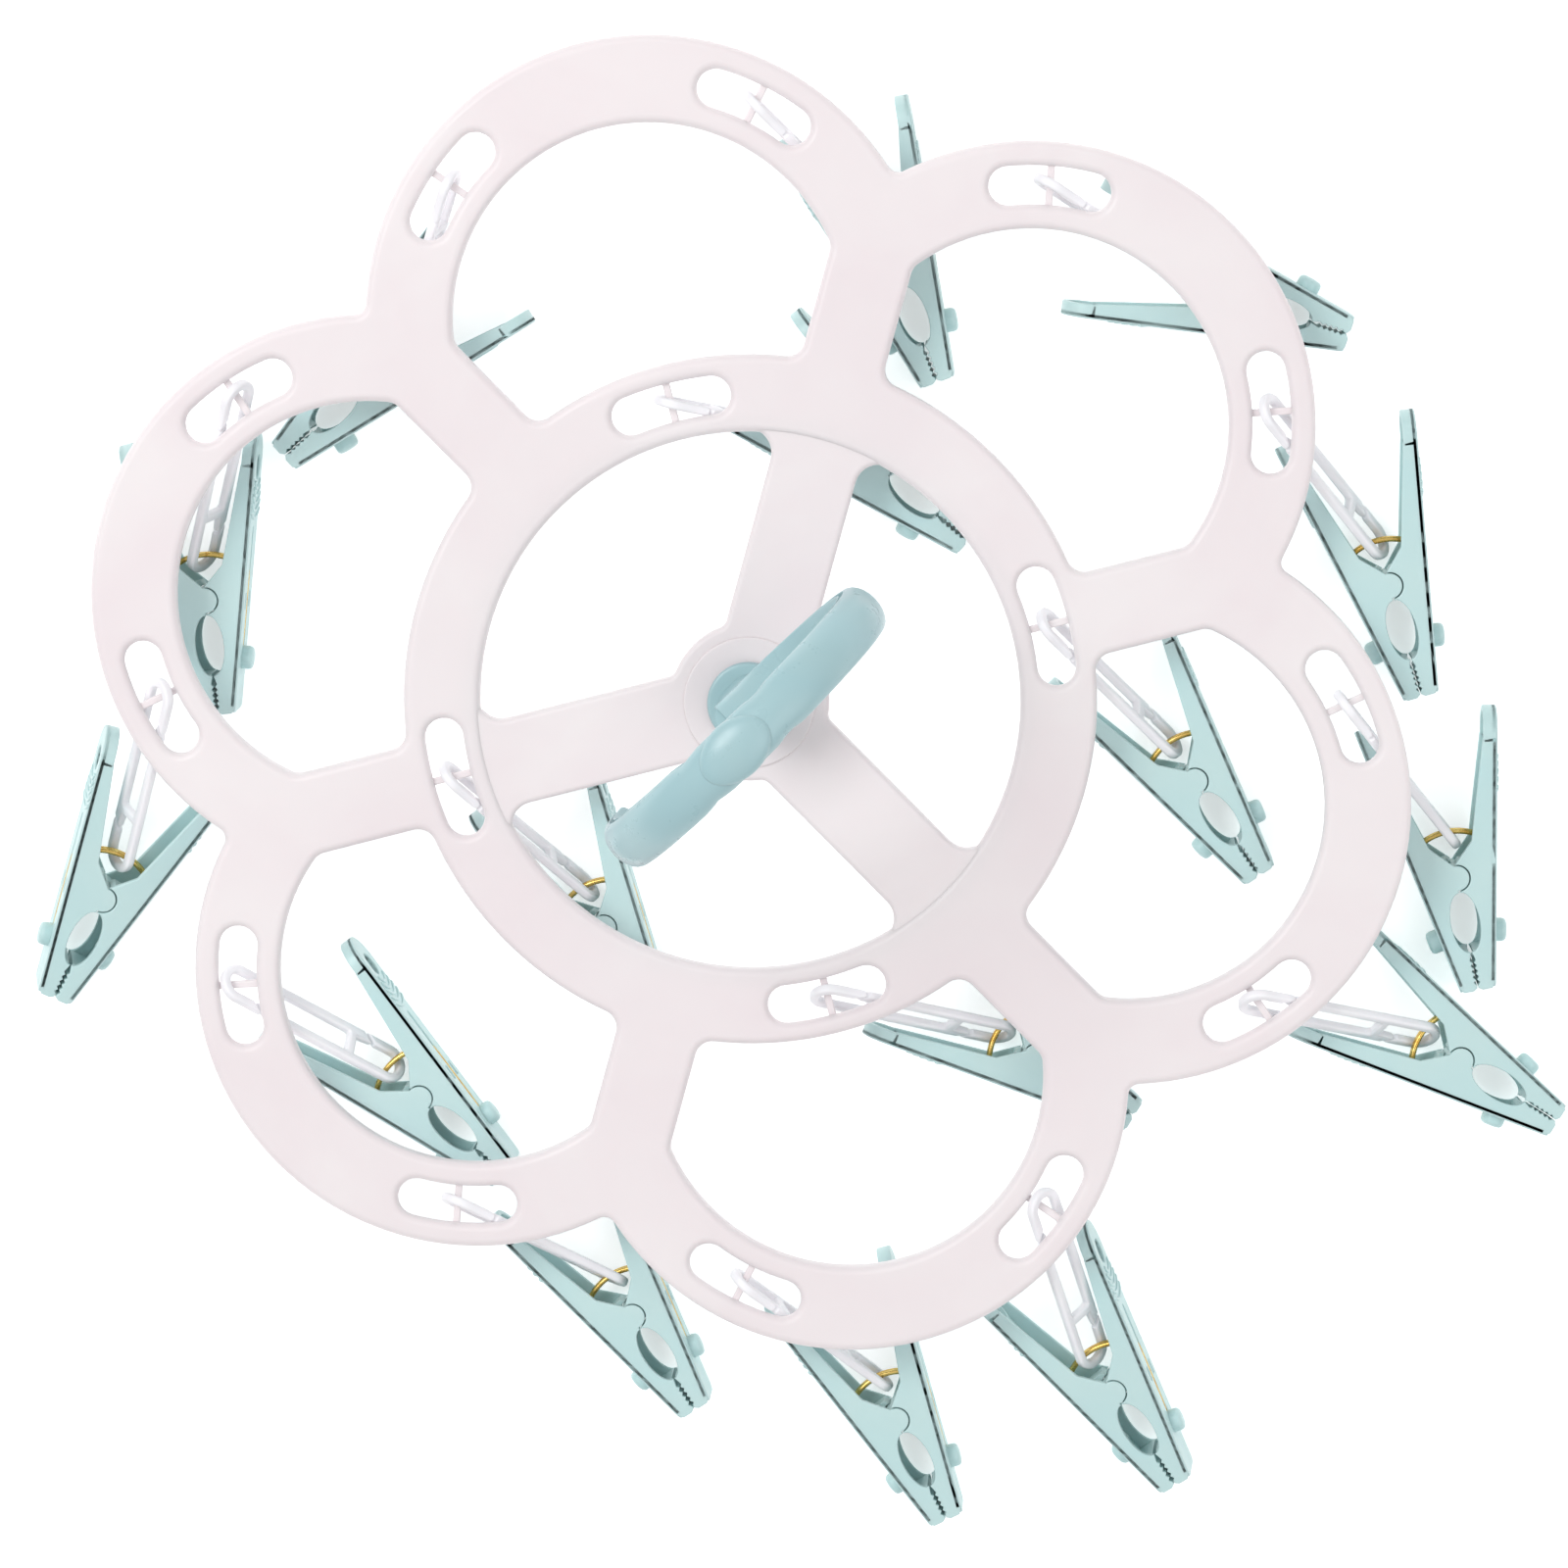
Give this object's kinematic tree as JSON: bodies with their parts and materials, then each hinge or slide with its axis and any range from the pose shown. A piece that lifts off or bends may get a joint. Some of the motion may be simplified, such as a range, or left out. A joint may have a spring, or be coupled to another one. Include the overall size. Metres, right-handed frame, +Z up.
{
  "type": "clip drying hanger",
  "caption": "Flower-shaped plastic drying hanger with a swivel hook, and spring clips hung on S-hook links from slots in its petals and centre ring.",
  "frame": {"origin": "on the hook's swivel axis, at the flat underside of the hook's cap, level with the frame's lower edge", "axes": "+Z up along the swivel axis, towards the hook; +Y through the middle of one petal"},
  "size_m": [0.3803, 0.396, 0.1393],
  "materials": {
    "white_plastic": "moulded polypropylene, faintly pink white, satin",
    "green_plastic": "moulded polypropylene, pale sea green, soft gloss",
    "spring_wire": "yellow-passivated steel wire"
  },
  "bodies": {
    "frame": {"flower_frame": "white_plastic", "hook_washer": "white_plastic"},
    "hook": {"swivel_hook": "green_plastic", "hook_cap": "green_plastic"},
    "link_01": {"link_01": "white_plastic"},
    "clip_01": {"clip_01_jaw_a": "green_plastic", "clip_01_spring": "spring_wire"},
    "clip_01_moving_jaw": {"clip_01_jaw_b": "green_plastic"},
    "link_02": {"link_02": "white_plastic"},
    "clip_02": {"clip_02_jaw_a": "green_plastic", "clip_02_spring": "spring_wire"},
    "clip_02_moving_jaw": {"clip_02_jaw_b": "green_plastic"},
    "link_03": {"link_03": "white_plastic"},
    "clip_03": {"clip_03_jaw_a": "green_plastic", "clip_03_spring": "spring_wire"},
    "clip_03_moving_jaw": {"clip_03_jaw_b": "green_plastic"},
    "link_04": {"link_04": "white_plastic"},
    "clip_04": {"clip_04_jaw_a": "green_plastic", "clip_04_spring": "spring_wire"},
    "clip_04_moving_jaw": {"clip_04_jaw_b": "green_plastic"},
    "link_05": {"link_05": "white_plastic"},
    "clip_05": {"clip_05_jaw_a": "green_plastic", "clip_05_spring": "spring_wire"},
    "clip_05_moving_jaw": {"clip_05_jaw_b": "green_plastic"},
    "link_06": {"link_06": "white_plastic"},
    "clip_06": {"clip_06_jaw_a": "green_plastic"},
    "clip_06_moving_jaw": {"clip_06_jaw_b": "green_plastic"},
    "link_07": {"link_07": "white_plastic"},
    "clip_07": {"clip_07_jaw_a": "green_plastic"},
    "clip_07_moving_jaw": {"clip_07_jaw_b": "green_plastic"},
    "link_08": {"link_08": "white_plastic"},
    "clip_08": {"clip_08_jaw_a": "green_plastic", "clip_08_spring": "spring_wire"},
    "clip_08_moving_jaw": {"clip_08_jaw_b": "green_plastic"},
    "link_09": {"link_09": "white_plastic"},
    "clip_09": {"clip_09_jaw_a": "green_plastic", "clip_09_spring": "spring_wire"},
    "clip_09_moving_jaw": {"clip_09_jaw_b": "green_plastic"},
    "link_10": {"link_10": "white_plastic"},
    "clip_10": {"clip_10_jaw_a": "green_plastic"},
    "clip_10_moving_jaw": {"clip_10_jaw_b": "green_plastic"},
    "link_11": {"link_11": "white_plastic"},
    "clip_11": {"clip_11_jaw_a": "green_plastic"},
    "clip_11_moving_jaw": {"clip_11_jaw_b": "green_plastic"},
    "link_12": {"link_12": "white_plastic"},
    "clip_12": {"clip_12_jaw_a": "green_plastic"},
    "clip_12_moving_jaw": {"clip_12_jaw_b": "green_plastic"},
    "link_13": {"link_13": "white_plastic"},
    "clip_13": {"clip_13_jaw_a": "green_plastic", "clip_13_spring": "spring_wire"},
    "clip_13_moving_jaw": {"clip_13_jaw_b": "green_plastic"},
    "link_14": {"link_14": "white_plastic"},
    "clip_14": {"clip_14_jaw_a": "green_plastic"},
    "clip_14_moving_jaw": {"clip_14_jaw_b": "green_plastic"},
    "link_15": {"link_15": "white_plastic"},
    "clip_15": {"clip_15_jaw_a": "green_plastic"},
    "clip_15_moving_jaw": {"clip_15_jaw_b": "green_plastic"},
    "link_16": {"link_16": "white_plastic"},
    "clip_16": {"clip_16_jaw_a": "green_plastic"},
    "clip_16_moving_jaw": {"clip_16_jaw_b": "green_plastic"}
  },
  "joints": [
    {"name": "hook_swivel", "type": "hinge", "parent": "frame", "child": "hook", "pos_m": [0, 0, 0], "axis": [0, 0, 1], "continuous": true},
    {"name": "link_01_swing", "type": "hinge", "parent": "frame", "child": "link_01", "pos_m": [0.0393, 0.14361, 0.0012], "axis": [0.7492, 0.6067, 0.2657], "range_deg": [0, 67.13]},
    {"name": "clip_01_swing", "type": "hinge", "parent": "link_01", "child": "clip_01", "pos_m": [0.06077, 0.10487, -0.02], "axis": [0.7166, 0.2259, 0.6599], "range_deg": [0, 34.27]},
    {"name": "clip_01_squeeze", "type": "hinge", "parent": "clip_01", "child": "clip_01_moving_jaw", "pos_m": [0.06194, 0.09373, -0.02], "axis": [0, 0, 1], "range_deg": [0, 18], "deforming": ["clip_01_spring"]},
    {"name": "link_02_swing", "type": "hinge", "parent": "frame", "child": "link_02", "pos_m": [-0.0393, 0.14361, 0.0012], "axis": [0.8019, -0.5934, -0.0691], "range_deg": [0, 64.58]},
    {"name": "clip_02_swing", "type": "hinge", "parent": "link_02", "child": "clip_02", "pos_m": [-0.06405, 0.10691, -0.02], "axis": [0.2636, -0.6892, 0.675], "range_deg": [0, 37.38]},
    {"name": "clip_02_squeeze", "type": "hinge", "parent": "clip_02", "child": "clip_02_moving_jaw", "pos_m": [-0.07394, 0.10165, -0.02], "axis": [0, 0, 1], "range_deg": [0, 18], "deforming": ["clip_02_spring"]},
    {"name": "link_03_swing", "type": "hinge", "parent": "frame", "child": "link_03", "pos_m": [0.10472, 0.10584, 0.0012], "axis": [0.6067, 0.7492, 0.2659], "range_deg": [0, 67.1]},
    {"name": "clip_03_swing", "type": "hinge", "parent": "link_03", "child": "clip_03", "pos_m": [0.13372, 0.07247, -0.02], "axis": [0.3064, 0.8439, -0.4403], "range_deg": [0, 30.57]},
    {"name": "clip_03_squeeze", "type": "hinge", "parent": "clip_03", "child": "clip_03_moving_jaw", "pos_m": [0.14312, 0.06637, -0.02], "axis": [0, 0, -1], "range_deg": [0, 18], "deforming": ["clip_03_spring"]},
    {"name": "link_04_swing", "type": "hinge", "parent": "frame", "child": "link_04", "pos_m": [0.14402, 0.03777, 0.0012], "axis": [0.9282, 0.3656, -0.0694], "range_deg": [0, 64.34]},
    {"name": "clip_04_swing", "type": "hinge", "parent": "link_04", "child": "clip_04", "pos_m": [0.16182, -0.00223, -0.02], "axis": [0.7546, -0.557, 0.3469], "range_deg": [0, 41.47]},
    {"name": "clip_04_squeeze", "type": "hinge", "parent": "clip_04", "child": "clip_04_moving_jaw", "pos_m": [0.16221, -0.01342, -0.02], "axis": [0, 0, 1], "range_deg": [0, 18], "deforming": ["clip_04_spring"]},
    {"name": "link_05_swing", "type": "hinge", "parent": "frame", "child": "link_05", "pos_m": [0.14402, -0.03777, 0.0012], "axis": [0.9434, 0.2884, -0.1635], "range_deg": [0, 65.46]},
    {"name": "clip_05_swing", "type": "hinge", "parent": "link_05", "child": "clip_05", "pos_m": [0.16136, -0.07863, -0.02], "axis": [0.6988, 0.1232, 0.7046], "range_deg": [0, 36.28]},
    {"name": "clip_05_squeeze", "type": "hinge", "parent": "clip_05", "child": "clip_05_moving_jaw", "pos_m": [0.16078, -0.08982, -0.02], "axis": [0, 0, 1], "range_deg": [0, 18], "deforming": ["clip_05_spring"]},
    {"name": "link_06_swing", "type": "hinge", "parent": "frame", "child": "link_06", "pos_m": [0.10472, -0.10584, 0.0012], "axis": [0.4688, 0.8816, 0.0543], "range_deg": [0, 65.48]},
    {"name": "clip_06_swing", "type": "hinge", "parent": "link_06", "child": "clip_06", "pos_m": [0.14236, -0.12757, -0.01873], "axis": [-0.313, 0.8159, 0.4861], "range_deg": [0, 51.21]},
    {"name": "clip_06_squeeze", "type": "hinge", "parent": "clip_06", "child": "clip_06_moving_jaw", "pos_m": [0.15, -0.13576, -0.01896], "axis": [0.0902, 0.0566, 0.9943], "range_deg": [0, 18]},
    {"name": "link_07_swing", "type": "hinge", "parent": "frame", "child": "link_07", "pos_m": [0.0393, -0.14361, 0.0012], "axis": [0.9996, 0.0262, -0.0136], "range_deg": [0, 65.24]},
    {"name": "clip_07_swing", "type": "hinge", "parent": "link_07", "child": "clip_07", "pos_m": [0.04081, -0.18679, -0.01873], "axis": [0.5438, -0.6973, -0.467], "range_deg": [0, 55.45]},
    {"name": "clip_07_squeeze", "type": "hinge", "parent": "clip_07", "child": "clip_07_moving_jaw", "pos_m": [0.04445, -0.19738, -0.01896], "axis": [0.0923, 0.0531, -0.9943], "range_deg": [0, 18]},
    {"name": "link_08_swing", "type": "hinge", "parent": "frame", "child": "link_08", "pos_m": [-0.0393, -0.14361, 0.0012], "axis": [0.7334, 0.6489, 0.2026], "range_deg": [0, 66.04]},
    {"name": "clip_08_swing", "type": "hinge", "parent": "link_08", "child": "clip_08", "pos_m": [-0.01444, -0.18047, -0.02], "axis": [0.7036, 0.2987, 0.6448], "range_deg": [0, 33.55]},
    {"name": "clip_08_squeeze", "type": "hinge", "parent": "clip_08", "child": "clip_08_moving_jaw", "pos_m": [-0.01211, -0.19142, -0.02], "axis": [0, 0, 1], "range_deg": [0, 18], "deforming": ["clip_08_spring"]},
    {"name": "link_09_swing", "type": "hinge", "parent": "frame", "child": "link_09", "pos_m": [-0.10472, -0.10584, 0.0012], "axis": [0.6778, 0.7269, 0.1105], "range_deg": [0, 64.67]},
    {"name": "clip_09_swing", "type": "hinge", "parent": "link_09", "child": "clip_09", "pos_m": [-0.07478, -0.13794, -0.02], "axis": [0.2769, 0.7073, 0.6504], "range_deg": [0, 42.83]},
    {"name": "clip_09_squeeze", "type": "hinge", "parent": "clip_09", "child": "clip_09_moving_jaw", "pos_m": [-0.07113, -0.14853, -0.02], "axis": [0, 0, 1], "range_deg": [0, 18], "deforming": ["clip_09_spring"]},
    {"name": "link_10_swing", "type": "hinge", "parent": "frame", "child": "link_10", "pos_m": [-0.14402, -0.03777, 0.0012], "axis": [0.8079, 0.5657, -0.1651], "range_deg": [0, 64.95]},
    {"name": "clip_10_swing", "type": "hinge", "parent": "link_10", "child": "clip_10", "pos_m": [-0.11556, -0.07051, -0.02], "axis": [0.9358, -0.3511, -0.0329], "range_deg": [0, 46.53]},
    {"name": "clip_10_squeeze", "type": "hinge", "parent": "clip_10", "child": "clip_10_moving_jaw", "pos_m": [-0.10946, -0.0799, -0.02], "axis": [0, 0, 1], "range_deg": [0, 18]},
    {"name": "link_11_swing", "type": "hinge", "parent": "frame", "child": "link_11", "pos_m": [-0.14402, 0.03777, 0.0012], "axis": [0.8384, -0.5445, -0.0259], "range_deg": [0, 67.86]},
    {"name": "clip_11_swing", "type": "hinge", "parent": "link_11", "child": "clip_11", "pos_m": [-0.16771, -0.00015, -0.01701], "axis": [0.8508, 0.3157, 0.42], "range_deg": [0, 38.62]},
    {"name": "clip_11_squeeze", "type": "hinge", "parent": "clip_11", "child": "clip_11_moving_jaw", "pos_m": [-0.1752, -0.00846, -0.01758], "axis": [0.16, -0.2091, 0.9647], "range_deg": [0, 18]},
    {"name": "link_12_swing", "type": "hinge", "parent": "frame", "child": "link_12", "pos_m": [-0.10472, 0.10584, 0.0012], "axis": [0.8013, -0.5821, -0.1382], "range_deg": [0, 64.67]},
    {"name": "clip_12_swing", "type": "hinge", "parent": "link_12", "child": "clip_12", "pos_m": [-0.12708, 0.06861, -0.02], "axis": [0.289, -0.762, -0.5795], "range_deg": [0, 48.23]},
    {"name": "clip_12_squeeze", "type": "hinge", "parent": "clip_12", "child": "clip_12_moving_jaw", "pos_m": [-0.12884, 0.05755, -0.02], "axis": [0, 0, -1], "range_deg": [0, 18]},
    {"name": "link_13_swing", "type": "hinge", "parent": "frame", "child": "link_13", "pos_m": [0, 0.0774, 0.0012], "axis": [0.2257, 0.9054, 0.3596], "range_deg": [0, 69.47]},
    {"name": "clip_13_swing", "type": "hinge", "parent": "link_13", "child": "clip_13", "pos_m": [0.03878, 0.05678, -0.02], "axis": [0.4677, 0.5381, 0.7012], "range_deg": [0, 36.45]},
    {"name": "clip_13_squeeze", "type": "hinge", "parent": "clip_13", "child": "clip_13_moving_jaw", "pos_m": [0.04536, 0.04772, -0.02], "axis": [0, 0, 1], "range_deg": [0, 18], "deforming": ["clip_13_spring"]},
    {"name": "link_14_swing", "type": "hinge", "parent": "frame", "child": "link_14", "pos_m": [0.0774, 0, 0.0012], "axis": [0.903, 0.4115, -0.1234], "range_deg": [0, 65.04]},
    {"name": "clip_14_swing", "type": "hinge", "parent": "link_14", "child": "clip_14", "pos_m": [0.09893, -0.03885, -0.02], "axis": [0.964, -0.2299, 0.1335], "range_deg": [0, 32.3]},
    {"name": "clip_14_squeeze", "type": "hinge", "parent": "clip_14", "child": "clip_14_moving_jaw", "pos_m": [0.10276, -0.04937, -0.02], "axis": [0, 0, 1], "range_deg": [0, 18]},
    {"name": "link_15_swing", "type": "hinge", "parent": "frame", "child": "link_15", "pos_m": [0, -0.0774, 0.0012], "axis": [0.5765, 0.8082, -0.1203], "range_deg": [0, 66.38]},
    {"name": "clip_15_swing", "type": "hinge", "parent": "link_15", "child": "clip_15", "pos_m": [0.03808, -0.10028, -0.01873], "axis": [-0.2679, 0.8375, 0.4763], "range_deg": [0, 45.94]},
    {"name": "clip_15_squeeze", "type": "hinge", "parent": "clip_15", "child": "clip_15_moving_jaw", "pos_m": [0.04586, -0.10834, -0.01896], "axis": [0.0892, 0.0581, 0.9943], "range_deg": [0, 18]},
    {"name": "link_16_swing", "type": "hinge", "parent": "frame", "child": "link_16", "pos_m": [-0.0774, 0, 0.0012], "axis": [0.8997, 0.3364, -0.2783], "range_deg": [0, 67.32]},
    {"name": "clip_16_swing", "type": "hinge", "parent": "link_16", "child": "clip_16", "pos_m": [-0.05468, -0.03782, -0.02], "axis": [0.8722, 0.0151, 0.4889], "range_deg": [0, 31.53]},
    {"name": "clip_16_squeeze", "type": "hinge", "parent": "clip_16", "child": "clip_16_moving_jaw", "pos_m": [-0.05216, -0.04873, -0.02], "axis": [0, 0, 1], "range_deg": [0, 18]}
  ]
}
